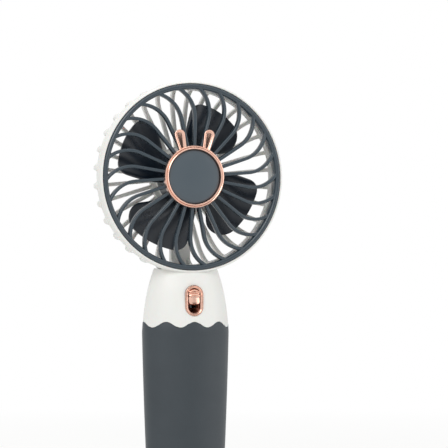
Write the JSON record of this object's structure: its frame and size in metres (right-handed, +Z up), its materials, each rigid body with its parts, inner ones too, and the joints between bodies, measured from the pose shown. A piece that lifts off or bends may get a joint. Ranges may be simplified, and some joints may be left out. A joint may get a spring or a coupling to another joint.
{
  "type": "hand-held fan",
  "caption": "Rechargeable hand-held fan: a round head with a swirl front grille and a bowl-shaped rear cage on an oval handle with a slide switch.",
  "frame": {"origin": "centre of the flat base on the handle's axis", "axes": "+Z up along the handle, -Y the way the fan blows, +X to the right seen from the front"},
  "size_m": [0.1006, 0.031, 0.2103],
  "materials": {
    "white_shell": "satin moulded ABS",
    "slate_grip": "soft-touch matt",
    "slate_plastic": "satin moulded ABS",
    "cap_plastic": "matt",
    "rose_gold": "rose-gold vacuum metallised",
    "dark_plastic": "satin moulded ABS",
    "black_plastic": "moulded",
    "steel": "plated",
    "bronze": "sintered",
    "copper": "enamelled wire",
    "magnet": "ferrite",
    "nickel": "nickel strip",
    "board_green": "solder mask",
    "clear_plastic": "clear",
    "cell_wrap": "plastic-wrapped",
    "foam": "closed-cell foam",
    "lead_red": "insulated wire",
    "lead_black": "insulated wire"
  },
  "bodies": {
    "housing": {"front_shell": "white_shell", "rear_shell": "white_shell", "rear_grille": "white_shell", "grip_sleeve": "slate_grip", "front_grille": "slate_plastic", "centre_cap": "cap_plastic", "ear_ring": "rose_gold", "switch_bezel": "rose_gold", "slide_switch": "steel", "motor_can": "steel", "motor_end_cap": "black_plastic", "motor_brushes": "bronze", "motor_magnets": "magnet", "motor_bushes": "bronze", "circuit_board": "board_green", "board_screws": "steel", "board_parts": "black_plastic", "usb_socket": "steel", "charge_light": "clear_plastic", "battery_cell": "cell_wrap", "cell_tab_positive": "nickel", "cell_tab_negative": "nickel", "cell_foam_pads": "foam", "shell_screws": "steel", "motor_lead_red": "lead_red", "motor_lead_black": "lead_black", "cell_lead_red": "lead_red", "cell_lead_black": "lead_black"},
    "rotor": {"impeller": "dark_plastic", "motor_shaft": "steel", "rotor_core": "steel", "rotor_windings": "copper", "commutator": "copper"},
    "slider": {"slider_knob": "rose_gold", "switch_lever": "black_plastic"}
  },
  "joints": [
    {"name": "impeller_spin", "type": "hinge", "parent": "housing", "child": "rotor", "pos_m": [0, 0, 0.16], "axis": [0, -1, 0], "continuous": true},
    {"name": "switch_slide", "type": "slide", "parent": "housing", "child": "slider", "axis": [0, 0, -1], "range_m": [0, 0.004]}
  ]
}
